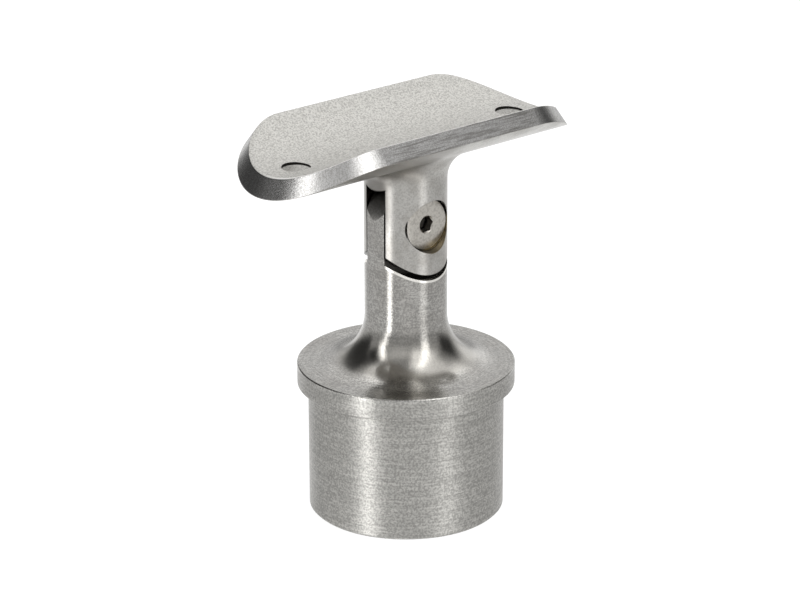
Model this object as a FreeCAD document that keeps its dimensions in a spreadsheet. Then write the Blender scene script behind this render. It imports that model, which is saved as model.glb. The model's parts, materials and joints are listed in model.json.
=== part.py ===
# Adjustable handrail bracket for the top of a tube post
import FreeCAD, Part
import math
import os

import Sketcher

V = FreeCAD.Vector
doc = FreeCAD.newDocument("handrail_bracket")

# Driving dimensions, millimetres and degrees
# z = 0 is the end of the post under the flange, x runs along the handrail,
# y along the pivot screw, whose head faces -y
SIZES = [
    ("flange_diameter", 42.4, "outside of the post that the cap finishes"),
    ("flange_thickness", 4.4, "from the post's end to the top of the flange"),
    ("flange_chamfer", 0.2, "broken edges of the flange"),
    ("plug_diameter", 38.2, "fits the post's bore with play for the adhesive"),
    ("plug_length", 25.6, "reach into the post"),
    ("plug_wall", 3.4, "wall of the hollow plug"),
    ("plug_lead", 0.5, "chamfer of the plug's leading edge"),
    ("cavity_depth", 22.0, "hollow of the plug, from its lower rim"),
    ("cavity_slope", 2.5, "sloping corner in the top of the hollow"),
    ("stem_diameter", 16.0, "stem, tongue, ears and neck share this round"),
    ("flare_radius", 10.0, "sweep from the stem into the flange"),
    ("pivot_height", 33.7, "pivot axis above the post's end"),
    ("tongue_thickness", 4.8, "flat tongue on top of the stem"),
    ("tongue_radius", 8.1, "top of the tongue, about the pivot"),
    ("side_play", 0.3, "between the tongue and each ear"),
    ("ear_radius", 9.6, "lower end of the ears, about the pivot"),
    ("swing_play", 1.05, "between the ears' ends and the shoulders under them"),
    ("screw_diameter", 5.0, "shank and thread of the pivot screw"),
    ("screw_length", 12.0, "head face to tip"),
    ("screw_play", 0.05, "radial play of the shank in the tongue and the ears"),
    ("head_diameter", 9.8, "countersunk head"),
    ("head_land", 0.4, "straight rim of the head, above its cone"),
    ("head_face", 6.05, "head face from the bracket's middle plane"),
    ("head_play", 0.3, "radial play round the head"),
    ("socket_flats", 3.0, "hexagon socket across its flats"),
    ("socket_depth", 2.3, "depth of the hexagon socket"),
    ("socket_turn", 5.0, "turn of the hexagon about the screw"),
    ("tip_chamfer", 0.6, "chamfer of the screw's tip"),
    ("rail_radius", 21.2, "handrail that lies in the trough"),
    ("seat_height", 15.75, "lowest line of the trough above the pivot"),
    ("plate_thickness", 3.9, "saddle plate, square to the trough"),
    ("saddle_length", 72.0, "over the lower edge of the plate"),
    ("saddle_width", 33.8, "over the lower edge of the plate"),
    ("wall_flare", 2.2, "how far the lower edge stands out from the upper one"),
    ("rim_land", 1.0, "narrow land along the trough's rim, in plan"),
    ("rim_drop", 0.3, "how far the land falls away from the trough's round"),
    ("neck_fillet", 5.0, "fillet between the neck and the plate"),
    ("rail_hole_edge", 9.2, "centre of each rail screw hole from the plate's end"),
    ("rail_hole_diameter", 5.5, "rail screw holes"),
    ("rail_hole_land", 0.55, "straight part of each hole, above its countersink"),
    ("past", 10.0, "how far a cut runs past the solid that it cuts"),
]

sheet = doc.addObject("Spreadsheet::Sheet", "sizes")
for row, (alias, number, note) in enumerate(SIZES, start=1):
    sheet.set("A%d" % row, alias)
    sheet.set("B%d" % row, str(number))
    sheet.set("C%d" % row, note)
    sheet.setAlias("B%d" % row, alias)
doc.recompute()


def value(expression):
    """Number that an expression on the sheet gives."""
    return float(sheet.evalExpression(expression))


def origin_plane(body, role):
    """One of the body's own origin planes."""
    return [feature for feature in body.Origin.OriginFeatures if feature.Role == role][0]


def new_sketch(body, name, role, x=None, y=None, z=None):
    """Sketch on an origin plane of its own body, shifted in the plane by x and y and off it by z."""
    sketch = body.newObject("Sketcher::SketchObject", name)
    sketch.AttachmentSupport = (origin_plane(body, role), [""])
    sketch.MapMode = "FlatFace"
    for axis, expression in (("x", x), ("y", y), ("z", z)):
        if expression:
            sketch.setExpression("AttachmentOffset.Base." + axis, expression)
    return sketch


def dimension(sketch, kind, references, expression):
    """Adds a dimension that follows an expression on the sheet."""
    number = sketch.addConstraint(Sketcher.Constraint(kind, *references, value(expression)))
    sketch.setExpression("Constraints[%d]" % number, expression)


def outline(sketch, steps):
    """Closed outline of corners, each pinned at (across, up).

    A step that also names a radius and a turn is followed by an arc to the next corner, which bends
    to the left of the way there when turn is 1 and to the right when it is -1."""
    corners = [V(value(step[0]), value(step[1]), 0) for step in steps]
    edges = []
    for start, step, end in zip(corners, steps, corners[1:] + corners[:1]):
        if len(step) == 2:
            edges.append((sketch.addGeometry(Part.LineSegment(start, end), False), 1, 2))
            continue
        radius, turn = value(step[2]), step[3]
        chord = end - start
        left = V(-chord.y, chord.x, 0).normalize()
        centre = (start + end) * 0.5 + left * turn * math.sqrt(radius ** 2 - chord.Length ** 2 / 4)
        first, last = (start, end) if turn > 0 else (end, start)
        angles = [math.atan2(point.y - centre.y, point.x - centre.x) for point in (first, last)]
        circle = Part.Circle(centre, V(0, 0, 1), radius)
        edge = sketch.addGeometry(Part.ArcOfCircle(circle, *angles), False)
        edges.append((edge, 1, 2) if turn > 0 else (edge, 2, 1))
        dimension(sketch, "Radius", (edge,), step[2])
    for number, (edge, start, end) in enumerate(edges):
        following = edges[(number + 1) % len(edges)]
        sketch.addConstraint(Sketcher.Constraint("Coincident", edge, end, following[0], following[1]))
    for (edge, start, end), step in zip(edges, steps):
        dimension(sketch, "DistanceX", (-1, 1, edge, start), step[0])
        dimension(sketch, "DistanceY", (-1, 1, edge, start), step[1])


def ring(sketch, radius):
    """Circle about the sketch's origin."""
    edge = sketch.addGeometry(Part.Circle(V(0, 0, 0), V(0, 0, 1), value(radius)), False)
    sketch.addConstraint(Sketcher.Constraint("Coincident", edge, 3, -1, 1))
    dimension(sketch, "Radius", (edge,), radius)


def revolve(body, kind, name, sketch, axis):
    """Full turn of a sketch about its own H_Axis or V_Axis; kind is Revolution or Groove."""
    feature = body.newObject("PartDesign::" + kind, name)
    feature.Profile = sketch
    feature.ReferenceAxis = (sketch, [axis])
    feature.Angle = 360.0
    doc.recompute()
    return feature


def extrude(body, kind, name, sketch, length, both_ways=False, reverse=False):
    """Pad or Pocket of a sketch; both_ways centres it on the sketch's plane."""
    feature = body.newObject("PartDesign::" + kind, name)
    feature.Profile = sketch
    feature.setExpression("Length", length)
    feature.Midplane = both_ways
    feature.Reversed = reverse
    doc.recompute()
    return feature


def soften(body, name, radius, chosen):
    """Fillets the edges of the body's last feature whose middle and length the test accepts."""
    base = body.Tip
    names = []
    for number, edge in enumerate(base.Shape.Edges, start=1):
        middle = edge.valueAt((edge.FirstParameter + edge.LastParameter) / 2)
        if chosen(edge, middle):
            names.append("Edge%d" % number)
    feature = body.newObject("PartDesign::Fillet", name)
    feature.Base = (base, names)
    feature.setExpression("Radius", radius)
    doc.recompute()
    return feature


def near(number, target):
    """True within a hundredth of a millimetre."""
    return abs(number - target) < 0.01


def mirror(body, name, feature, role):
    """Mirrors a feature in an origin plane of the body and makes the result its tip."""
    image = body.newObject("PartDesign::Mirrored", name)
    image.Originals = [feature]
    image.MirrorPlane = (origin_plane(body, role), [""])
    body.Tip = image
    doc.recompute()
    return image


def make_post_cap():
    """Hollow plug, flange, flared stem and tongue, turned about the post's axis."""
    body = doc.addObject("PartDesign::Body", "post_cap")
    stem = "sizes.stem_diameter / 2"
    plug = "sizes.plug_diameter / 2"
    cavity = "sizes.plug_diameter / 2 - sizes.plug_wall"
    rim = "sizes.flange_diameter / 2"
    top = "sizes.flange_thickness"
    crown = "sizes.pivot_height + sizes.tongue_radius"
    profile = new_sketch(body, "cap_profile", "XZ_Plane")
    outline(profile, [
        ("0", "sizes.cavity_depth - sizes.plug_length"),
        (cavity + " - sizes.cavity_slope", "sizes.cavity_depth - sizes.plug_length"),
        (cavity, "sizes.cavity_depth - sizes.plug_length - sizes.cavity_slope"),
        (cavity, "-sizes.plug_length"),
        (plug + " - sizes.plug_lead", "-sizes.plug_length"),
        (plug, "sizes.plug_lead - sizes.plug_length"),
        (plug, "0"),
        (rim + " - sizes.flange_chamfer", "0"),
        (rim, "sizes.flange_chamfer"),
        (rim, top + " - sizes.flange_chamfer"),
        (rim + " - sizes.flange_chamfer", top),
        (stem + " + sizes.flare_radius", top, "sizes.flare_radius", -1),
        (stem, top + " + sizes.flare_radius"),
        (stem, crown),
        ("0", crown),
    ])
    revolve(body, "Revolution", "cap_turned", profile, "V_Axis")

    # Both sides of the stem are cut back to the tongue, down to the round shoulders
    shoulder = "sizes.ear_radius + sizes.swing_play"
    clear = new_sketch(body, "shoulder_outline", "XZ_Plane", y="sizes.pivot_height", z="sizes.tongue_thickness / 2")
    outline(clear, [
        ("-(" + shoulder + ")", "0", shoulder, 1),
        ("0", "-(" + shoulder + ")", shoulder, 1),
        (shoulder, "0"),
        (shoulder, shoulder),
        ("-(" + shoulder + ")", shoulder),
    ])
    near_side = extrude(body, "Pocket", "ear_room", clear, "sizes.stem_diameter", reverse=True)
    mirror(body, "ear_room_both", near_side, "XZ_Plane")

    # The tongue's top is round about the pivot
    crest = new_sketch(body, "tongue_outline", "XZ_Plane", y="sizes.pivot_height")
    outline(crest, [
        ("sizes.tongue_radius", "0", "sizes.tongue_radius", 1),
        ("0", "sizes.tongue_radius", "sizes.tongue_radius", 1),
        ("-sizes.tongue_radius", "0"),
        ("-sizes.tongue_radius - sizes.past", "0"),
        ("-sizes.tongue_radius - sizes.past", "sizes.tongue_radius + sizes.past"),
        ("sizes.tongue_radius + sizes.past", "sizes.tongue_radius + sizes.past"),
        ("sizes.tongue_radius + sizes.past", "0"),
    ])
    extrude(body, "Pocket", "tongue_top", crest, "sizes.flange_diameter", both_ways=True)

    bore = new_sketch(body, "tongue_bore_outline", "XZ_Plane", y="sizes.pivot_height")
    ring(bore, "sizes.screw_diameter / 2 + sizes.screw_play")
    extrude(body, "Pocket", "tongue_bore", bore, "sizes.flange_diameter", both_ways=True)
    return body


def obround(straight, radius, bottom, height):
    """Upright block with round ends; straight is half the distance between their centres."""
    near_left, near_right = V(-straight, -radius, bottom), V(straight, -radius, bottom)
    far_right, far_left = V(straight, radius, bottom), V(-straight, radius, bottom)
    wire = Part.Wire([
        Part.LineSegment(near_left, near_right).toShape(),
        Part.Arc(near_right, V(straight + radius, 0, bottom), far_right).toShape(),
        Part.LineSegment(far_right, far_left).toShape(),
        Part.Arc(far_left, V(-straight - radius, 0, bottom), near_left).toShape(),
    ])
    return Part.Face(wire).extrude(V(0, 0, height))


def make_plate():
    """Saddle plate: trough and underside are coaxial rounds, joined by a land and a wall.

    All outlines have round ends in plan. The land and the wall are ruled from one to the next."""
    low_radius = value("sizes.saddle_width / 2")
    rim_radius = value("sizes.saddle_width / 2 - sizes.wall_flare")
    trough_radius = value("sizes.saddle_width / 2 - sizes.wall_flare - sizes.rim_land")
    straight = value("(sizes.saddle_length - sizes.saddle_width) / 2")
    rail = value("sizes.rail_radius")
    axis_height = value("sizes.pivot_height + sizes.seat_height + sizes.rail_radius")
    length = value("sizes.saddle_length")

    def skin(radius, half_width):
        tube = Part.makeCylinder(radius, 2 * length, V(-length, 0, axis_height), V(1, 0, 0))
        round_face = [face for face in tube.Faces if face.Surface.TypeId == "Part::GeomCylinder"][0]
        below = value("sizes.past")
        return round_face.common(obround(straight, half_width, axis_height - radius - below, radius + below))

    def middle(edge):
        return edge.valueAt((edge.FirstParameter + edge.LastParameter) / 2)

    trough = skin(rail, trough_radius)
    rim = skin(rail + value("sizes.rim_drop"), rim_radius)
    underside = skin(rail + value("sizes.plate_thickness"), low_radius)
    walls = []
    for upper, lower in ((trough, rim), (rim, underside)):
        for edge in upper.Edges:
            partner = min(lower.Edges, key=lambda other: (middle(other) - middle(edge)).Length)
            walls.append(Part.makeRuledSurface(edge, partner))
    shell = Part.makeShell(trough.Faces + underside.Faces + walls)
    shell.sewShape()
    solid = Part.makeSolid(shell if shell.ShapeType == "Shell" else shell.Shells[0])
    if solid.Volume < 0:
        solid.reverse()
    plate = doc.addObject("Part::Feature", "saddle_plate")
    # Made once more from its own shell, the solid faces outwards and can be filleted
    plate.Shape = Part.Solid(solid.Shells[0])
    plate.Placement = FreeCAD.Placement()
    return plate


def make_saddle():
    """Plate with its neck and the two ears that straddle the tongue."""
    plate = make_plate()
    body = doc.addObject("PartDesign::Body", "saddle")
    body.BaseFeature = plate
    doc.recompute()

    outer = value("sizes.rail_radius + sizes.plate_thickness")
    axis_height = value("sizes.pivot_height + sizes.seat_height + sizes.rail_radius")

    # The neck ends inside the plate and reaches down to the ears' lowest line
    neck = new_sketch(body, "neck_outline", "XY_Plane", z="sizes.pivot_height - sizes.ear_radius")
    ring(neck, "sizes.stem_diameter / 2")
    extrude(body, "Pad", "neck", neck, "sizes.ear_radius + sizes.seat_height - sizes.plate_thickness / 2")
    stem = value("sizes.stem_diameter / 2")
    soften(body, "neck_root", "sizes.neck_fillet", lambda edge, middle: near(math.hypot(middle.x, middle.y), stem)
           and near(math.hypot(middle.y, middle.z - axis_height), outer))

    # Slot between the ears, with a roof round about the pivot
    roof = "sizes.ear_radius + sizes.swing_play"
    slot = new_sketch(body, "slot_outline", "XZ_Plane", y="sizes.pivot_height")
    outline(slot, [
        (roof, "0", roof, 1),
        ("0", roof, roof, 1),
        ("-(" + roof + ")", "0"),
        ("-(" + roof + ")", "-sizes.ear_radius - sizes.past"),
        (roof, "-sizes.ear_radius - sizes.past"),
    ])
    extrude(body, "Pocket", "slot", slot, "sizes.tongue_thickness + 2 * sizes.side_play", both_ways=True)

    # Lower ends of the ears, round about the pivot
    ends = new_sketch(body, "ear_outline", "XZ_Plane", y="sizes.pivot_height")
    outline(ends, [
        ("-sizes.ear_radius", "0", "sizes.ear_radius", 1),
        ("0", "-sizes.ear_radius", "sizes.ear_radius", 1),
        ("sizes.ear_radius", "0"),
        ("sizes.ear_radius + sizes.past", "0"),
        ("sizes.ear_radius + sizes.past", "-sizes.ear_radius - sizes.past"),
        ("-sizes.ear_radius - sizes.past", "-sizes.ear_radius - sizes.past"),
        ("-sizes.ear_radius - sizes.past", "0"),
    ])
    extrude(body, "Pocket", "ear_ends", ends, "sizes.flange_diameter", both_ways=True)

    # Pivot hole: clear round the head, conical under it, plain through both ears
    hole = "sizes.screw_diameter / 2 + sizes.screw_play"
    head = "sizes.head_diameter / 2 + sizes.head_play"
    cone_top = "-sizes.head_face + sizes.head_land"
    cone_end = cone_top + " + sizes.head_diameter / 2 + sizes.head_play - sizes.screw_diameter / 2 - sizes.screw_play"
    seat = new_sketch(body, "pivot_hole_profile", "YZ_Plane", y="sizes.pivot_height")
    outline(seat, [
        ("-sizes.stem_diameter", "0"),
        ("sizes.stem_diameter", "0"),
        ("sizes.stem_diameter", hole),
        (cone_end, hole),
        (cone_top, head),
        ("-sizes.stem_diameter", head),
    ])
    revolve(body, "Groove", "pivot_hole", seat, "H_Axis")

    # Rail screw holes, countersunk from below
    drill = "sizes.rail_hole_diameter / 2"
    sink = drill + " + sizes.plate_thickness - sizes.rail_hole_land"
    under = "-sizes.plate_thickness"
    rail_hole = new_sketch(body, "rail_hole_profile", "XZ_Plane", x="sizes.saddle_length / 2 - sizes.rail_hole_edge",
                           y="sizes.pivot_height + sizes.seat_height")
    outline(rail_hole, [
        ("0", under + " - sizes.past"),
        (sink, under + " - sizes.past"),
        (sink, under),
        (drill, "-sizes.rail_hole_land"),
        (drill, "sizes.past"),
        ("0", "sizes.past"),
    ])
    one = revolve(body, "Groove", "rail_hole", rail_hole, "V_Axis")
    mirror(body, "rail_holes", one, "YZ_Plane")
    return body


def make_pivot_screw():
    """Countersunk screw with a hexagon socket, along y through the pivot."""
    body = doc.addObject("PartDesign::Body", "pivot_screw")
    shank = "sizes.screw_diameter / 2"
    head = "sizes.head_diameter / 2"
    face = "-sizes.head_face"
    tip = "-sizes.head_face + sizes.screw_length"
    profile = new_sketch(body, "screw_profile", "YZ_Plane", y="sizes.pivot_height")
    outline(profile, [
        (face, "0"),
        (tip, "0"),
        (tip, shank + " - sizes.tip_chamfer"),
        (tip + " - sizes.tip_chamfer", shank),
        (face + " + sizes.head_land + " + head + " - " + shank, shank),
        (face + " + sizes.head_land", head),
        (face, head),
    ])
    revolve(body, "Revolution", "screw_turned", profile, "H_Axis")

    socket = new_sketch(body, "socket_outline", "XZ_Plane", y="sizes.pivot_height", z="sizes.head_face")
    corner = "sizes.socket_flats / sqrt(3)"
    turns = ["(sizes.socket_turn + %d)" % (60 * number) for number in range(6)]
    outline(socket, [(corner + " * cos" + turn, corner + " * sin" + turn) for turn in turns])
    extrude(body, "Pocket", "socket", socket, "sizes.socket_depth")
    return body


def check(parts):
    """Stops if any object failed or any sub-part is empty or invalid."""
    doc.recompute()
    for item in doc.Objects:
        if "Invalid" in item.State or "Error" in item.State:
            raise RuntimeError("%s failed: %s" % (item.Name, item.State))
    for item in parts:
        if item.Shape.isNull() or not item.Shape.isValid() or len(item.Shape.Solids) != 1:
            raise RuntimeError("%s has no valid single solid" % item.Label)


parts = [make_post_cap(), make_saddle(), make_pivot_screw()]
check(parts)
os.makedirs("parts", exist_ok=True)
for item in parts:
    item.Shape.exportStep("parts/%s.step" % item.Label)
    box = item.Shape.BoundBox
    print("%-12s volume %9.1f  x %.2f..%.2f  y %.2f..%.2f  z %.2f..%.2f" % (
        item.Label, item.Shape.Volume, box.XMin, box.XMax, box.YMin, box.YMax, box.ZMin, box.ZMax))
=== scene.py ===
# Adjustable handrail bracket: satin post cap, ground and blasted saddle, countersunk pivot screw
import json
import math

import bmesh
import bpy
import numpy as np
from mathutils import Matrix, Vector


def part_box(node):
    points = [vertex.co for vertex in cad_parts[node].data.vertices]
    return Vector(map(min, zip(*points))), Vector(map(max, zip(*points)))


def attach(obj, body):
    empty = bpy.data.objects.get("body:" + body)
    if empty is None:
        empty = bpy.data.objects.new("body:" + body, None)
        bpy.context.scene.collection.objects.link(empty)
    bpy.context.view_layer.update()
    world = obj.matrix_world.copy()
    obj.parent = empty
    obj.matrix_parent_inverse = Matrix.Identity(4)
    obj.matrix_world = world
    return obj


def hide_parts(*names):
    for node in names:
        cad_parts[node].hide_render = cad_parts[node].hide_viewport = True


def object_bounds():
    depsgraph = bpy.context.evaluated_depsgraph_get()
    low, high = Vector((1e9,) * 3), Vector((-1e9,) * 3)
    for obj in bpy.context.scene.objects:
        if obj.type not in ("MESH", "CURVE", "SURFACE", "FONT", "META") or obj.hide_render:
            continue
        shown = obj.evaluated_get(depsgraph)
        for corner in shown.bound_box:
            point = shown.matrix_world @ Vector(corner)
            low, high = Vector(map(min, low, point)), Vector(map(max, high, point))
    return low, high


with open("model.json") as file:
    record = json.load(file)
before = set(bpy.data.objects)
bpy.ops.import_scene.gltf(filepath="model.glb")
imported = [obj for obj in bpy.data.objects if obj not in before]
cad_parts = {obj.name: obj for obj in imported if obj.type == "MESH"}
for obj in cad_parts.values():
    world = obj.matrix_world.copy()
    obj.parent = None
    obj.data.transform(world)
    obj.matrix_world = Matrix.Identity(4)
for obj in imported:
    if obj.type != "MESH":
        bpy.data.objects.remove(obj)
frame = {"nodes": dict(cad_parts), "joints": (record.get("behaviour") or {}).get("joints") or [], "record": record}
cadLow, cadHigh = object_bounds()
mm = 0.001

# Places that the pieces and materials share, read from the frame where it has them
pivot = Vector(frame["joints"][0]["pos_m"])
screwLow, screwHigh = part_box("pivot_screw")
mounts = {mount["name"]: mount for mount in frame["record"]["mounts"]}
seat = Vector(mounts["rail_seat"]["pos_m"])
railHoles = mounts["rail_screws"]["dims"]

# The knuckle joint, as the frame doesn't state it: radii about the pivot, then half the width of the
# tongue and of the slot along it
joint = {"shoulder": 10.65 * mm, "crest": 8.1 * mm, "earEnd": 9.6 * mm, "headHole": 5.25 * mm,
         "tongueSide": 2.4 * mm, "slotSide": 2.7 * mm}
print("frame loaded:", len(frame["nodes"]), "nodes, pivot at", round(pivot.z / mm, 2), "mm")


def span(low, high):
    # both ends of a soft edge, in millimetres
    return low * mm, high * mm


class Wire:
    # One output socket. Arithmetic on it adds a Math node to its tree and gives the new output.
    def __init__(self, tree, socket):
        self.tree = tree
        self.socket = socket

    def math(self, operation, *others):
        node = self.tree.nodes.new("ShaderNodeMath")
        node.operation = operation
        for slot, part in zip(node.inputs, (self, *others)):
            plug(self.tree, slot, part)
        return Wire(self.tree, node.outputs[0])

    def flipped(self, operation, other):
        node = self.tree.nodes.new("ShaderNodeMath")
        node.operation = operation
        plug(self.tree, node.inputs[0], other)
        plug(self.tree, node.inputs[1], self)
        return Wire(self.tree, node.outputs[0])

    def orElse(self, other):
        # the stronger of two masks
        return self.math("MAXIMUM", other)

    def __add__(self, other):
        return self.math("ADD", other)

    __radd__ = __add__

    def __mul__(self, other):
        return self.math("MULTIPLY", other)

    __rmul__ = __mul__

    def __sub__(self, other):
        return self.math("SUBTRACT", other)

    def __rsub__(self, other):
        return self.flipped("SUBTRACT", other)

    def __truediv__(self, other):
        return self.math("DIVIDE", other)

    def __rtruediv__(self, other):
        return self.flipped("DIVIDE", other)

    def __abs__(self):
        return self.math("ABSOLUTE")


def plug(tree, slot, part):
    # links a Wire, or sets a plain value
    if isinstance(part, Wire):
        tree.links.new(part.socket, slot)
    else:
        slot.default_value = part


class Recipe:
    # The node tree of a material or of the world, emptied
    def __init__(self, owner):
        owner.use_nodes = True
        self.tree = owner.node_tree
        self.tree.nodes.clear()

    def node(self, kind, settings=None, give=0, **sockets):
        # sockets are inputs by name, with _ for a space, or by number as n0, n1; give picks the output
        made = self.tree.nodes.new("ShaderNode" + kind)
        for name, setting in (settings or {}).items():
            setattr(made, name, setting)
        for name, part in sockets.items():
            place = int(name[1:]) if name[1:].isdigit() else name.replace("_", " ")
            plug(self.tree, made.inputs[place], part)
        return Wire(self.tree, made.outputs[give]) if len(made.outputs) else made

    def parts(self, vector):
        # x, y and z of a vector
        split = self.tree.nodes.new("ShaderNodeSeparateXYZ")
        plug(self.tree, split.inputs[0], vector)
        return [Wire(self.tree, output) for output in split.outputs]

    def ease(self, value, low, high):
        # 0 below low, 1 above high, smooth between
        return self.node("MapRange", {"interpolation_type": "SMOOTHSTEP"}, Value=value, From_Min=low,
                         From_Max=high, To_Min=0.0, To_Max=1.0)

    def fade(self, value, low, high):
        # 1 below low, 0 above high, smooth between
        return 1 - self.ease(value, low, high)

    def near(self, value, target, width=0.08 * mm):
        # 1 where value lies within width of target, 0 from twice the width
        return self.fade(abs(value - target), width, 2 * width)

    def blend(self, factor, first, second):
        # colour that goes from first to second
        return self.node("Mix", {"data_type": "RGBA"}, give=2, n0=factor, n6=first, n7=second)

    def noise(self, vector, scale, detail=2.0, roughness=0.5):
        return self.node("TexNoise", Vector=vector, Scale=scale, Detail=detail, Roughness=roughness)

    def lines(self, x, y, z):
        # fine lines: noise at a place whose x, y and z are already divided by the size of a line
        return self.noise(self.node("CombineXYZ", X=x, Y=y, Z=z), 1.0, detail=3.0, roughness=0.65)

    def bump(self, height, distance, normal=None):
        given = {} if normal is None else {"Normal": normal}
        return self.node("Bump", Strength=1.0, Distance=distance, Height=height, **given)

    def softEdges(self, radius):
        # normal that rounds every sharp edge a little
        return self.node("Bevel", {"samples": 6}, Radius=radius)


# The camera stands to the left of the screw's side and looks down a little
view = {"azimuth": -40.99, "elevation": 20.60, "roll": -0.16, "distance": 609.2 * mm,
        "focalPixels": 3128.17, "pixelsWide": 800, "sensor": 36.0,
        "aimRight": -1.16 * mm, "aimUp": 10.05 * mm, "aimHeight": 4.4 * mm,
        "clipStart": 0.05, "clipEnd": 20.0}


def makeCamera():
    turn, lift, roll = (math.radians(view[key]) for key in ("azimuth", "elevation", "roll"))
    back = Vector((math.sin(turn) * math.cos(lift), -math.cos(turn) * math.cos(lift), math.sin(lift)))
    level = Vector((math.cos(turn), math.sin(turn), 0))
    upright = back.cross(level)
    right = level * math.cos(roll) + upright * math.sin(roll)
    up = upright * math.cos(roll) - level * math.sin(roll)
    place = right * view["aimRight"] + up * view["aimUp"] + back * view["distance"]
    place.z += view["aimHeight"]
    data = bpy.data.cameras.new("camera")
    data.sensor_fit, data.sensor_width = "HORIZONTAL", view["sensor"]
    data.lens = view["focalPixels"] * view["sensor"] / view["pixelsWide"]
    data.clip_start, data.clip_end = view["clipStart"], view["clipEnd"]
    camera = bpy.data.objects.new("camera", data)
    bpy.context.scene.collection.objects.link(camera)
    camera.matrix_world = Matrix.Translation(place) @ Matrix((right, up, back)).transposed().to_4x4()
    bpy.context.scene.camera = camera


makeCamera()
print("camera made")

# The studio, as patches by direction, in degrees. turn counts to the right from the side where the camera
# stands, and lift is above the horizon. A patch reaches wide and high from its middle and fades over its
# soft edge. Lamps add their light to the base above the horizon. Below it lies a pale table with streaks of
# lamplight, and horizon is where the two meet. Flags shade what is behind them. The camera itself sees
# plain white.
studio = {
    "base": 0.45,
    "lights": [
        # lit backdrop behind the object
        {"turn": 180, "wide": 44, "lift": 52, "high": 20, "soft": 14, "light": 0.70},
        {"turn": 180, "wide": 44, "lift": 20, "high": 14, "soft": 8, "light": 0.38},
        # two strip lamps and two high ones on the left
        {"turn": -61, "wide": 7, "lift": 33, "high": 16, "soft": 6, "light": 3.1},
        {"turn": -53, "wide": 5, "lift": 6, "high": 14, "soft": 5, "light": 2.2},
        {"turn": -78, "wide": 24, "lift": 63, "high": 6, "soft": 7, "light": 1.1},
        {"turn": -130, "wide": 34, "lift": 63, "high": 9, "soft": 6, "light": 0.7},
        # two broad lamps in front
        {"turn": -20, "wide": 26, "lift": 40, "high": 10, "soft": 12, "light": 0.5},
        {"turn": 46, "wide": 32, "lift": 54, "high": 22, "soft": 12, "light": 1.3},
        # two strip lamps on the right, and broader ones from there to the back
        {"turn": 50, "wide": 9, "lift": 44, "high": 26, "soft": 6, "light": 1.9},
        {"turn": 49, "wide": 8, "lift": 6, "high": 14, "soft": 7, "light": 1.1},
        {"turn": 86, "wide": 8, "lift": 36, "high": 9, "soft": 7, "light": 0.10},
        {"turn": 102, "wide": 22, "lift": 58, "high": 12, "soft": 9, "light": 0.9},
        {"turn": 110, "wide": 50, "lift": 75, "high": 8, "soft": 8, "light": 0.7},
        {"turn": 138, "wide": 16, "lift": 46, "high": 9, "soft": 7, "light": 0.8},
        {"turn": 157, "wide": 14, "lift": 12, "high": 12, "soft": 6, "light": 0.5},
    ],
    "table": 0.72,
    "horizon": (-3, 0),
    "streaks": [
        {"turn": -46, "wide": 4, "soft": 7, "light": 4.3},
        {"turn": 49, "wide": 9, "soft": 9, "light": 0.75},
        {"turn": 2, "wide": 30, "soft": 18, "light": 0.16},
        {"turn": -80, "wide": 30, "soft": 14, "light": 0.07},
        {"turn": 165, "wide": 22, "soft": 12, "light": 0.15},
        {"turn": -165, "wide": 20, "soft": 12, "light": 0.35},
    ],
    "flags": [
        {"turn": 180, "wide": 14, "lift": -7, "high": 8, "soft": 5, "shade": 0.55},
        {"turn": -123, "wide": 27, "lift": 25, "high": 24, "soft": 8, "shade": 0.88},
        {"turn": -85, "wide": 12, "lift": 38, "high": 13, "soft": 5, "shade": 0.97},
        {"turn": 110, "wide": 20, "lift": 16, "high": 16, "soft": 9, "shade": 0.90},
    ],
}


def patchMask(recipe, turn, lift, patch):
    # 1 inside the patch, 0 outside, from how far turn and lift are from its middle; a streak has no lift
    def within(distance, key):
        return recipe.fade(distance, math.radians(patch[key] - patch["soft"]),
                           math.radians(patch[key] + patch["soft"]))

    middle = math.radians(patch["turn"] + view["azimuth"])
    mask = within(abs((turn - middle).math("WRAP", math.pi, -math.pi)), "wide")
    if "lift" in patch:
        mask = mask * within(abs(lift - math.radians(patch["lift"])), "high")
    return mask


def makeWorld():
    world = bpy.data.worlds.new("studio")
    bpy.context.scene.world = world
    recipe = Recipe(world)
    x, y, z = recipe.parts(recipe.node("TexCoord", give="Generated"))
    turn = x.math("ARCTAN2", y * -1.0)
    lift = z.math("ARCSINE")

    def glowing(patches, start):
        return sum((patchMask(recipe, turn, lift, patch) * patch["light"] for patch in patches), start)

    light = glowing(studio["lights"], studio["base"])
    table = glowing(studio["streaks"], studio["table"])
    horizon = [math.radians(degrees) for degrees in studio["horizon"]]
    light = light + (table - light) * recipe.fade(lift, *horizon)
    for patch in studio["flags"]:
        light = light * (1 - patchMask(recipe, turn, lift, patch) * patch["shade"])
    seen = recipe.node("LightPath", give="Is Camera Ray")
    glow = recipe.node("Background", Color=(1, 1, 1, 1), Strength=light * (1 - seen) + seen)
    recipe.node("OutputWorld", Surface=glow)


makeWorld()
print("studio made:", len(studio["lights"]), "lights,", len(studio["streaks"]), "streaks and",
      len(studio["flags"]), "flags")


def roundAngles(count):
    # angles of a ring with count points
    return np.linspace(0, 2 * np.pi, count + 1)[:-1]


# White floor that keeps a soft shadow. Mirrored rays pass it and meet the studio's table instead.
floorLook = {"radius": 3.0, "around": 96, "colour": (0.25, 0.25, 0.25, 1), "glow": 0.9}


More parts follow.
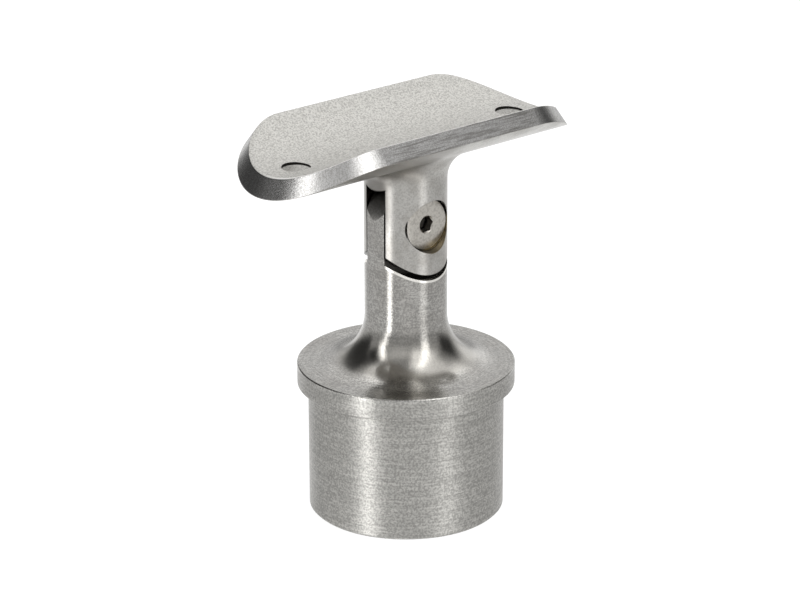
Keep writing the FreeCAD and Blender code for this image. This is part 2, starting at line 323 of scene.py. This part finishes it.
def makeFloor():
    ring = roundAngles(floorLook["around"])
    corners = np.stack([np.cos(ring) * floorLook["radius"], np.sin(ring) * floorLook["radius"],
                        np.full(ring.size, cadLow.z)], axis=1)
    mesh = bpy.data.meshes.new("floor")
    mesh.from_pydata(corners.tolist(), [], [list(range(ring.size))])
    floor = bpy.data.objects.new("floor", mesh)
    bpy.context.scene.collection.objects.link(floor)
    material = bpy.data.materials.new("floor")
    recipe = Recipe(material)
    seen, glossy, through = (recipe.node("LightPath", give=name)
                             for name in ("Is Camera Ray", "Is Glossy Ray", "Is Transmission Ray"))
    matte = recipe.node("BsdfDiffuse", Color=floorLook["colour"])
    glow = recipe.node("Emission", Color=(1, 1, 1, 1), Strength=(seen + through) * floorLook["glow"])
    shown = recipe.node("AddShader", n0=matte, n1=glow)
    surface = recipe.node("MixShader", Fac=glossy, n1=shown, n2=recipe.node("BsdfTransparent"))
    recipe.node("OutputMaterial", Surface=surface)
    mesh.materials.append(material)


makeFloor()
print("floor made")


def newMaterial(name):
    # an empty material with its recipe, and the place on the piece, whole and as x, y and z
    material = bpy.data.materials.new(name)
    recipe = Recipe(material)
    place = recipe.node("TexCoord", give="Object")
    return material, recipe, place, recipe.parts(place)


def hypotenuse(first, second):
    return (first * first + second * second).math("SQRT")


# Post cap: satin, turned and brushed round its axis, with painted shade in the joint and a painted highlight on
# the lip below it, and rough in the hollow.
# Heights are above the post's end, rises above the pivot, and radii from the post's axis.
capFinish = {
    # the brightest colour paints a highlight on the lip, and the shade colour paints shade in the joint
    "colour": (0.53, 0.52, 0.495, 1), "stain": (0.45, 0.435, 0.41, 1), "turned": (0.60, 0.59, 0.56, 1),
    "flare": (0.42, 0.405, 0.375, 1), "lipHighlight": (0.93, 0.91, 0.86, 1), "shade": (0.08, 0.077, 0.070, 1),
    "cast": (0.20, 0.195, 0.185, 1),
    "roughness": 0.41, "stemRoughness": 0.18, "castRoughness": 0.62, "stainRoughness": 0.12,
    "shadeRoughness": 0.2, "anisotropic": 0.7, "rotation": 0.25,
    "lineTurns": 2.2, "linePitch": 0.35 * mm, "lineHeight": 0.003 * mm, "lineRange": (0.35, 0.65),
    "lineShade": 0.36, "lineLessOnFlare": 0.2,
    "grainScale": 2600.0, "grainHeight": 0.010 * mm, "grainRange": (0.42, 0.60),
    "grainShade": 0.52, "grainLessOnFlare": 0.4,
    "waveScale": 90.0, "waveHeight": 0.055 * mm, "stainScale": 140.0, "stainRange": (0.35, 0.75),
    "edge": 0.13 * mm,
    "turnedHeight": span(4.1, 4.4), "smoothHeight": span(3.0, 5.0), "flareFoot": span(4.6, 6.0),
    "flareTop": span(9.0, 14.0), "jointHeight": span(15.0, 16.0),
    "hollowRadius": span(16.0, 16.2), "hollowHeight": span(-3.4, -3.3),
    # the joint: painted shade on the shoulders within the lip, a painted highlight on the lip itself, painted
    # shade on the tongue's round top and its sides
    "shoulderAside": span(2.2, 2.4), "lipRadius": span(6.7, 7.0),
    "lipHighlightDrop": 0.16 * mm, "lipHighlightWidth": 0.2 * mm, "lipHighlightAside": span(2.5, 2.7), "lipHighlightRise": span(-6.0, -4.0),
    "crestWidth": 0.02 * mm, "crestStart": span(0.2, 0.9), "crestRise": span(0.0, 6.0),
    "crestShade": 0.35, "crestGain": 0.6,
    "sideRise": span(-11.5, -10.8), "sideRadius": span(7.75, 7.85), "sideShade": 0.8}


def capJointMasks(recipe, x, y, z, radius):
    # where shade is painted in the joint, and where a highlight is painted on its lip
    finish = capFinish
    rise = z - pivot.z
    away = hypotenuse(x, rise)
    aside = abs(y)
    onLip = recipe.ease(radius, *finish["lipRadius"])
    shoulder = recipe.near(away, joint["shoulder"]) * (
        recipe.ease(aside, *finish["shoulderAside"]) * (1 - onLip))
    crest = recipe.near(away, joint["crest"], finish["crestWidth"]) * (
        recipe.ease(rise, *finish["crestRise"]) * finish["crestGain"] + finish["crestShade"]) * (
        recipe.ease(rise, *finish["crestStart"]))
    side = recipe.near(aside, joint["tongueSide"]) * recipe.ease(rise, *finish["sideRise"]) * (
        recipe.fade(radius, *finish["sideRadius"]) * finish["sideShade"])
    # painted highlight on the lip below the shoulders
    lipHighlight = recipe.near(away, joint["shoulder"] + finish["lipHighlightDrop"], finish["lipHighlightWidth"]) * onLip * (
        recipe.ease(aside, *finish["lipHighlightAside"]) * recipe.fade(rise, *finish["lipHighlightRise"]))
    # painted shade in the joint
    shaded = shoulder.orElse(crest).orElse(side) * recipe.ease(z, *finish["jointHeight"])
    return shaded, lipHighlight


def capMaterial():
    finish = capFinish
    material, recipe, place, (x, y, z) = newMaterial("capSteel")
    radius = hypotenuse(x, y)
    shaded, lipHighlight = capJointMasks(recipe, x, y, z, radius)
    inside = recipe.fade(radius, *finish["hollowRadius"]) * recipe.fade(z, *finish["hollowHeight"])
    flare = recipe.ease(z, *finish["flareFoot"]) * recipe.fade(z, *finish["flareTop"])

    # brush lines run round the axis: they vary fast with height and radius, slowly with the angle
    lines = recipe.lines(x / radius * finish["lineTurns"], y / radius * finish["lineTurns"],
                         (z + radius) * (1 / finish["linePitch"]))
    grain = recipe.noise(place, finish["grainScale"])
    wave = recipe.noise(place, finish["waveScale"], detail=1.0)
    stain = recipe.noise(place, finish["stainScale"], detail=3.0, roughness=0.6)
    normal = recipe.bump(wave, finish["waveHeight"], recipe.softEdges(finish["edge"]))
    normal = recipe.bump(lines, finish["lineHeight"], normal)
    normal = recipe.bump(grain, finish["grainHeight"], normal)

    lineShade = recipe.ease(lines, *finish["lineRange"]) * (
        finish["lineShade"] - flare * finish["lineLessOnFlare"])
    grainShade = recipe.ease(grain, *finish["grainRange"]) * (
        finish["grainShade"] - flare * finish["grainLessOnFlare"])
    tone = finish["colour"]
    # the last two blends paint a highlight on the lip and paint shade in the joint
    for mask, colour in ((recipe.ease(stain, *finish["stainRange"]), "stain"), (flare, "flare"),
                         (recipe.fade(z, *finish["turnedHeight"]), "turned"), (lineShade, "cast"),
                         (grainShade, "cast"), (inside, "cast"), (lipHighlight, "lipHighlight"), (shaded, "shade")):
        tone = recipe.blend(mask, tone, finish[colour])
    smooth = recipe.ease(z, *finish["smoothHeight"]) * (finish["stemRoughness"] - finish["roughness"])
    rough = finish["roughness"] + smooth + inside * (finish["castRoughness"] - finish["roughness"])
    rough = rough + (stain - 0.5) * finish["stainRoughness"] + shaded * finish["shadeRoughness"]
    skin = recipe.node("BsdfPrincipled", Base_Color=tone, Metallic=1.0, Roughness=rough, Normal=normal,
                       Anisotropic=finish["anisotropic"], Anisotropic_Rotation=finish["rotation"])
    recipe.node("OutputMaterial", Surface=skin)
    return material


# Saddle: blasted trough, wall ground along its length and across its ends, satin neck and ears.
# Depths are outside the handrail's surface, levels above its seat, rises above the pivot.
saddleFinish = {
    # the rim colour is a painted highlight; the shade and dark colours are painted shade
    "trough": (0.645, 0.635, 0.605, 1), "speck": (0.25, 0.24, 0.225, 1), "rim": (0.90, 0.89, 0.87, 1),
    "wall": (0.60, 0.595, 0.585, 1), "cast": (0.22, 0.21, 0.195, 1),
    "neck": (0.55, 0.54, 0.515, 1), "stain": (0.34, 0.32, 0.29, 1),
    "rootLight": (0.70, 0.69, 0.66, 1), "rootShade": (0.41, 0.395, 0.37, 1),
    # the golden colours at the head's hole are a painted glint and its painted shade
    "goldGlint": (0.80, 0.69, 0.47, 1), "goldShade": (0.20, 0.17, 0.115, 1),
    "shade": (0.08, 0.077, 0.070, 1), "dark": (0.02, 0.019, 0.017, 1),
    "troughRoughness": 0.5, "wallRoughness": 0.25, "neckRoughness": 0.32,
    "anisotropic": 0.7, "rotation": 0.25,
    "grainScale": 2900.0, "grainHeight": 0.05 * mm, "wallGrain": 0.35, "neckGrain": 0.12,
    "speckRange": (0.40, 0.66), "speckShade": 0.62, "wallSpeck": 0.6, "neckSpeck": 0.6,
    "waveScale": 110.0, "waveHeight": 0.07 * mm, "stainScale": 210.0, "stainRange": (0.42, 0.68),
    "stainShade": 0.5, "edge": 0.19 * mm,
    # grinding lines, and painted shade on the wall that grows towards its right end
    "straight": 19.1 * mm, "endPast": span(-3.0, 1.0), "endRadius": 15.0 * mm,
    "linePitch": 0.32 * mm, "lineLength": 7.0 * mm, "downPitch": 0.20 * mm, "downLength": 2.2 * mm,
    "lineHeight": 0.003 * mm, "lineRange": (0.44, 0.62), "lineShade": 0.68, "lineLessOnEnds": 0.43,
    "farAcross": span(5.0, 28.0), "farShade": 0.24,
    # plate: trough, painted highlight on the rim on the screw's side, underside, rail holes with painted shade on
    # their lips
    "railRadius": 21.2 * mm, "troughDepth": span(0.33, 0.38), "rimHighlightDepth": span(0.14, 0.20),
    "rimHighlightAside": span(-4.0, 4.0), "rimHighlightShare": 0.9, "underDepth": span(3.78, 3.86),
    "countersinkRadius": span(6.3, 6.4), "holeRadius": span(2.78, 2.83), "lipLevel": span(-0.46, -0.38),
    "lipWidth": 0.01 * mm,
    # joint, all with painted shade: roof and sides of the slot, the ears' ends, and the hole of the screw's head,
    # which also has a painted glint
    "roofRise": span(0.0, 1.0), "roofAside": span(2.75, 2.95), "innerWidth": 0.06 * mm,
    "innerAway": span(10.7, 10.9), "innerShade": 0.9, "earEndWidth": 0.05 * mm, "earEndRise": span(-1.0, 0.0),
    "headHoleEnd": span(-5.0, -4.9), "headHoleSunk": span(-6.3, -6.1), "glintReach": span(3.0, 5.5),
    # neck: painted light at the root on the right, painted shade at the root on the left, and painted shade along
    # the ear's left edge
    "rootAcross": span(-4.0, 2.5), "rootRise": span(8.0, 11.0),
    "leftAcross": span(-7.5, -6.7), "leftStart": span(-1.5, 3.0), "leftEnd": span(9.0, 10.5),
    "leftShade": 0.85}


def saddleMasks(recipe, x, y, z):
    # where each finish of the saddle lies, and where shade is painted in the joint and the holes
    finish = saddleFinish
    rise = z - pivot.z
    away = hypotenuse(x, rise)
    aside = abs(y)
    level = z - seat.z
    depth = hypotenuse(y, level - finish["railRadius"]) - finish["railRadius"]
    beside = hypotenuse(abs(x) - railHoles["spacing_x_mm"] / 2 * mm, y)
    countersink = recipe.fade(beside, *finish["countersinkRadius"])
    below = recipe.ease(depth, *finish["underDepth"])
    trough = recipe.fade(depth, *finish["troughDepth"]).orElse(countersink) * (1 - below)
    # painted highlight along the trough's rim on the screw's side
    rim = recipe.ease(depth, *finish["rimHighlightDepth"]) * recipe.fade(y, *finish["rimHighlightAside"]) * (1 - countersink)

    roof = recipe.near(away, joint["shoulder"]) * recipe.ease(rise, *finish["roofRise"]) * (
        recipe.fade(aside, *finish["roofAside"]))
    inner = recipe.near(aside, joint["slotSide"], finish["innerWidth"]) * (
        recipe.fade(away, *finish["innerAway"]) * finish["innerShade"])
    ends = recipe.near(away, joint["earEnd"], finish["earEndWidth"]) * (
        recipe.fade(rise, *finish["earEndRise"]))
    headHole = recipe.near(away, joint["headHole"]) * recipe.fade(y, *finish["headHoleEnd"])
    # a painted glint on the lower right of the head's hole
    glinting = headHole * recipe.ease(x - rise, *finish["glintReach"])
    sunk = recipe.ease(y, *finish["headHoleSunk"])
    # painted shade on the rail holes' lips
    lip = recipe.fade(beside, *finish["holeRadius"]) * recipe.ease(level, *finish["lipLevel"]) * (
        1 - recipe.near(depth, 0.0, finish["lipWidth"]))
    return {"trough": trough, "rim": rim * finish["rimHighlightShare"], "below": below, "glinting": glinting, "sunk": sunk,
            "shaded": roof.orElse(inner).orElse(ends), "deepShade": ((headHole - glinting) * sunk).orElse(lip)}


def grindingLines(recipe, x, y, z):
    # along the wall between the ends and down it on them, and a mask of the ends
    finish = saddleFinish
    past = abs(x) - finish["straight"]
    end = recipe.ease(past, *finish["endPast"])
    along = recipe.lines(x * (1 / finish["lineLength"]), y * (1 / finish["linePitch"]),
                         z * (1 / finish["linePitch"]))
    sweep = y.math("ARCTAN2", past) * (finish["endRadius"] / finish["downPitch"])
    down = recipe.lines(sweep, z * (1 / finish["downLength"]), 0.0)
    return along + (down - along) * end, end


def neckTone(recipe, place, x, rise):
    # satin grey with stains, painted light and shade where the neck meets the plate, painted shade along the ear's
    # left edge
    finish = saddleFinish
    stain = recipe.noise(place, finish["stainScale"], detail=3.0, roughness=0.6)
    left = recipe.fade(x, *finish["leftAcross"]) * recipe.ease(rise, *finish["leftStart"]) * (
        recipe.fade(rise, *finish["leftEnd"]))
    # painted light at the root on the right and painted shade on its left, near the plate
    rootLight = recipe.blend(recipe.ease(x, *finish["rootAcross"]), finish["rootShade"], finish["rootLight"])
    tone = recipe.blend(recipe.ease(rise, *finish["rootRise"]), finish["neck"], rootLight)
    stained = recipe.ease(stain, *finish["stainRange"]) * finish["stainShade"]
    tone = recipe.blend(stained, tone, finish["stain"])
    # painted shade along the ear's left edge, in the cast colour
    return recipe.blend(left * finish["leftShade"], tone, finish["cast"])


def saddleMaterial():
    finish = saddleFinish
    material, recipe, place, (x, y, z) = newMaterial("saddleSteel")
    masks = saddleMasks(recipe, x, y, z)
    lines, end = grindingLines(recipe, x, y, z)
    grain = recipe.noise(place, finish["grainScale"], detail=3.0, roughness=0.6)
    edges = recipe.softEdges(finish["edge"])
    wavy = recipe.bump(recipe.noise(place, finish["waveScale"], detail=1.0), finish["waveHeight"], edges)
    lined = recipe.bump(lines, finish["lineHeight"], wavy)

    speck = recipe.ease(grain, *finish["speckRange"]) * finish["speckShade"]
    scoredAndShaded = recipe.ease(lines, *finish["lineRange"]) * (finish["lineShade"] - end * finish["lineLessOnEnds"])
    # painted shade that grows towards the wall's right end
    scoredAndShaded = scoredAndShaded + recipe.ease(x, *finish["farAcross"]) * finish["farShade"]
    wallSpeck = speck * finish["wallSpeck"]
    trough = recipe.blend(masks["rim"], recipe.blend(speck, finish["trough"], finish["speck"]), finish["rim"])
    wall = recipe.blend(wallSpeck + scoredAndShaded * (1 - wallSpeck), finish["wall"], finish["cast"])
    # painted glint near the head's level, painted shade further out on the hole's wall
    goldGlint = recipe.blend(masks["sunk"], finish["goldShade"], finish["goldGlint"])
    neck = recipe.blend(speck * finish["neckSpeck"], neckTone(recipe, place, x, z - pivot.z), finish["cast"])
    neck = recipe.blend(masks["shaded"], recipe.blend(masks["glinting"], neck, goldGlint), finish["shade"])

    def skin(tone, roughness, grainShare, under, **more):
        normal = recipe.bump(grain, finish["grainHeight"] * grainShare, under)
        return recipe.node("BsdfPrincipled", Base_Color=recipe.blend(masks["deepShade"], tone, finish["dark"]),
                           Metallic=1.0, Roughness=roughness, Normal=normal, **more)

    troughSkin = skin(trough, finish["troughRoughness"], 1.0, edges)
    wallSkin = skin(wall, finish["wallRoughness"], finish["wallGrain"], lined)
    neckSkin = skin(neck, finish["neckRoughness"], finish["neckGrain"], wavy,
                    Anisotropic=finish["anisotropic"], Anisotropic_Rotation=finish["rotation"])
    outside = recipe.node("MixShader", Fac=masks["below"], n1=wallSkin, n2=neckSkin)
    surface = recipe.node("MixShader", Fac=masks["trough"], n1=outside, n2=troughSkin)
    recipe.node("OutputMaterial", Surface=surface)
    return material


# Pivot screw: turned face with fine rings, and a socket with painted shade in its depth
screwFinish = {
    "colour": (0.60, 0.575, 0.53, 1), "speck": (0.27, 0.255, 0.225, 1), "dark": (0.05, 0.047, 0.042, 1),
    "roughness": 0.36, "ringPitch": 0.16 * mm, "ringHeight": 0.0012 * mm,
    "grainScale": 2200.0, "grainHeight": 0.006 * mm, "speckRange": (0.4, 0.65), "speckShade": 0.4,
    "socketStart": span(1.2, 2.2), "socketEnd": span(4.0, 5.0), "socketRadius": span(1.9, 2.0)}


def screwMaterial():
    finish = screwFinish
    material, recipe, place, (x, y, z) = newMaterial("screwSteel")
    away = hypotenuse(x, z - pivot.z)
    depth = y - screwLow.y
    rings = recipe.noise(recipe.node("CombineXYZ", X=away * (1 / finish["ringPitch"])), 1.0)
    grain = recipe.noise(place, finish["grainScale"])
    normal = recipe.bump(grain, finish["grainHeight"], recipe.bump(rings, finish["ringHeight"]))
    # painted shade deep in the socket
    deep = recipe.ease(depth, *finish["socketStart"]) * recipe.fade(depth, *finish["socketEnd"]) * (
        recipe.fade(away, *finish["socketRadius"]))
    speck = recipe.ease(grain, *finish["speckRange"]) * finish["speckShade"]
    tone = recipe.blend(deep, recipe.blend(speck, finish["colour"], finish["speck"]), finish["dark"])
    skin = recipe.node("BsdfPrincipled", Base_Color=tone, Metallic=1.0, Roughness=finish["roughness"],
                       Normal=normal)
    recipe.node("OutputMaterial", Surface=skin)
    return material


steels = {"post_cap": capMaterial(), "saddle": saddleMaterial(), "pivot_screw": screwMaterial()}
for name, material in steels.items():
    mesh = frame["nodes"][name].data
    mesh.materials.clear()
    mesh.materials.append(material)
print("materials made")

# New pieces: points as close as merge become one, and a corner of more degrees than smooth stays an edge
pieceLook = {"merge": 0.0005 * mm, "smooth": 32.0}


def addPiece(name, rows, material, body):
    # rows: points of a surface that is round about the pivot, ring after ring, as many points in each
    count, around = rows.shape[:2]
    first = np.arange(count - 1)[:, None] * around
    here = first + np.arange(around)[None, :]
    beside = first + (np.arange(around)[None, :] + 1) % around
    faces = np.stack([here, beside, beside + around, here + around], axis=2).reshape(-1, 4)
    mesh = bpy.data.meshes.new(name)
    mesh.from_pydata(rows.reshape(-1, 3).tolist(), [], faces.tolist())
    whole = bmesh.new()
    whole.from_mesh(mesh)
    bmesh.ops.remove_doubles(whole, verts=whole.verts, dist=pieceLook["merge"])
    print(name, "encloses", round(whole.calc_volume(signed=True) / mm ** 3, 2), "cubic mm")
    whole.to_mesh(mesh)
    whole.free()
    mesh.polygons.foreach_set("use_smooth", [True] * len(mesh.polygons))
    mesh.set_sharp_from_angle(angle=math.radians(pieceLook["smooth"]))
    mesh.materials.append(material)
    piece = bpy.data.objects.new(name, mesh)
    bpy.context.scene.collection.objects.link(piece)
    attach(piece, body)
    print(name, "made:", len(mesh.polygons), "faces")
    return piece


def aboutPivot(radius, angle, height):
    # points of one ring: radius from the pivot's axis at each angle, height along y
    return np.stack([pivot.x + radius * np.cos(angle), height + 0 * angle,
                     pivot.z + radius * np.sin(angle)], axis=1)


# Thread of the pivot screw, and of the far ear that it is screwed into. start is measured from the pivot,
# steps are rings to a pitch, and slope and land shape the zigzag.
thread = {"radius": 2.5 * mm, "pitch": 0.8 * mm, "depth": 0.44 * mm, "start": 0.6 * mm, "steps": 10,
          "slope": 1.25, "land": 0.125}


def threadRadius(angle, along, begin):
    # radius = outer radius less the depth of a rounded zigzag that moves one pitch with each turn,
    # faded in over one pitch from where the thread begins
    phase = np.mod(along / thread["pitch"] - angle / (2 * np.pi), 1.0)
    zigzag = np.clip(np.abs(phase * 2 - 1) * thread["slope"] - thread["land"], 0, 1)
    fade = np.clip((along - begin) / thread["pitch"], 0, 1)
    return thread["radius"] - thread["depth"] * zigzag * fade


# The screw's turned outline, as radius and depth below the face in millimetres, from the socket's rim
# outwards and back to the shank, and the socket with its drilled point
screwShape = {
    "around": 96, "turn": 5.0,
    "outline": [(1.78, 0.0), (3.2, 0.0), (4.78, 0.0), (4.86, 0.03), (4.9, 0.12), (4.9, 0.4),
                (2.5, 2.8), (2.5, 6.0)],
    "flats": 3.0 * mm, "rim": 1.78 * mm, "deep": 2.3 * mm, "point": 0.55 * mm,
    "cornerRound": 0.1 * mm, "cornerDrop": 0.03 * mm, "cornerShare": 0.96,
    "chamfer": 0.6 * mm, "gapBeforeTip": 0.0001 * mm}


def makeScrew():
    # Rings about the pivot. The socket's rings follow a hexagon: radius = half the flats over the cosine of
    # the angle from the nearest flat. Its rim is a 45 degree cone down to that hexagon.
    shape = screwShape
    angle = roundAngles(shape["around"])
    turned = angle + np.radians(shape["turn"])
    hexagon = shape["flats"] / 2 / np.cos(np.mod(angle, np.pi / 3) - np.pi / 6)
    face, tip = screwLow.y, screwHigh.y - screwLow.y
    rings = [(0 * angle, shape["deep"] + shape["point"]),
             (hexagon * shape["cornerShare"], shape["deep"] + shape["cornerDrop"]),
             (hexagon, shape["deep"] - shape["cornerRound"]),
             (hexagon, shape["rim"] - hexagon)]
    rings += [(radius * mm + 0 * angle, depth * mm) for radius, depth in shape["outline"]]
    begin = pivot.y - face + thread["start"]
    step = thread["pitch"] / thread["steps"]
    spots = np.arange(begin, tip - shape["gapBeforeTip"], step)
    for depth in list(spots) + [tip]:
        cone = thread["radius"] - shape["chamfer"] + (tip - depth)  # the tip's chamfer
        rings.append((np.minimum(threadRadius(turned, depth, begin), cone), depth))
    rings.append((0 * angle, tip))
    rows = np.array([aboutPivot(radius, turned, face + depth) for radius, depth in rings])
    piece = addPiece("pivotScrew", rows[::-1], steels["pivot_screw"], "head")
    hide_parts("pivot_screw")


# The far ear's thread runs from the slot to a short smooth mouth at the ear's outside
earShape = {"around": 72, "play": 0.03 * mm, "back": 0.045 * mm, "fromSlot": 0.05 * mm, "outside": 7.45 * mm,
            "mouthStart": 6.7 * mm, "mouthLength": 0.75 * mm}


def makeEarThread():
    # The same zigzag as on the screw, a little wider. A plain back against the bore's wall closes it into
    # a thin sleeve.
    shape = earShape
    angle = roundAngles(shape["around"])
    begin = pivot.y - screwLow.y + thread["start"]
    step = thread["pitch"] / thread["steps"]
    spots = np.arange(joint["slotSide"] + shape["fromSlot"], shape["outside"], step)
    rows = []
    for height in spots:
        radius = threadRadius(angle, height - screwLow.y, begin) + shape["play"]
        mouth = np.clip((height - shape["mouthStart"]) / shape["mouthLength"], 0, 1)
        radius = radius + (thread["radius"] + shape["play"] - radius) * mouth
        rows.append(aboutPivot(radius, angle, height))
    back = thread["radius"] + shape["back"]
    rows += [aboutPivot(back, angle, spots[-1]), aboutPivot(back, angle, spots[0]), rows[0]]
    addPiece("earThread", np.array(rows), steels["pivot_screw"], "head")


makeScrew()
makeEarThread()

bpy.context.scene.view_settings.view_transform = "Standard"
